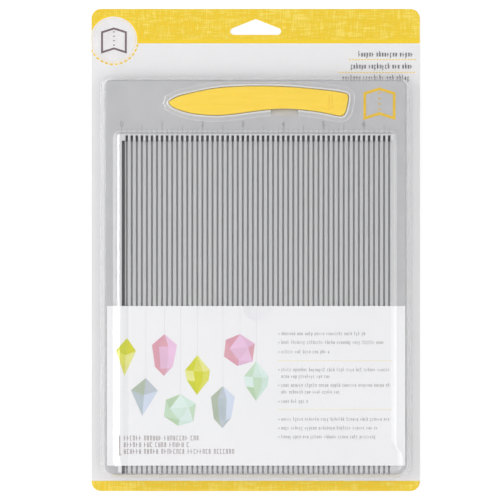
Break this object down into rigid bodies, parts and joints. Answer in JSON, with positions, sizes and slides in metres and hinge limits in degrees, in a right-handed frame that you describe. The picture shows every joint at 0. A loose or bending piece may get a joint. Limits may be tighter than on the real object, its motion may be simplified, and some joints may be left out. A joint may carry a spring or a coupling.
{
  "type": "scoring board",
  "caption": "Grooved paper scoring board with rubber feet and a bone folder in a cradle, on a hanging backing card with a printed insert, under a clear formed cover.",
  "frame": {"origin": "centre of the backing card's back face, which the pack lies on", "axes": "+X to the right seen from the front of the pack, +Y towards the hang hole, +Z out of the grooved face"},
  "size_m": [0.207, 0.304, 0.0128],
  "materials": {
    "backing_card": "coated printed board",
    "board_plastic": "finely textured grey moulding",
    "foot_rubber": "soft matt rubber",
    "folder_plastic": "satin yellow moulding",
    "label_paper": "smooth printed paper",
    "clear_sheet": "clear glossy thermoformed plastic"
  },
  "bodies": {
    "card": {"backing_card": "backing_card"},
    "board": {"scoring_board": "board_plastic", "foot_front_left": "foot_rubber", "foot_front_right": "foot_rubber", "foot_back_left": "foot_rubber", "foot_back_right": "foot_rubber"},
    "folder": {"bone_folder": "folder_plastic"},
    "label": {"insert_label": "label_paper"},
    "cover": {"clear_cover": "clear_sheet"}
  },
  "joints": [
    {"name": "board_lift", "type": "slide", "parent": "card", "child": "board", "axis": [0, 0, 1], "range_m": [0, 0.03]},
    {"name": "folder_lift", "type": "slide", "parent": "board", "child": "folder", "axis": [0, 0, 1], "range_m": [0, 0.03]},
    {"name": "label_lift", "type": "slide", "parent": "folder", "child": "label", "axis": [0, 0, 1], "range_m": [0, 0.03]},
    {"name": "cover_lift", "type": "slide", "parent": "label", "child": "cover", "axis": [0, 0, 1], "range_m": [0, 0.04]}
  ]
}
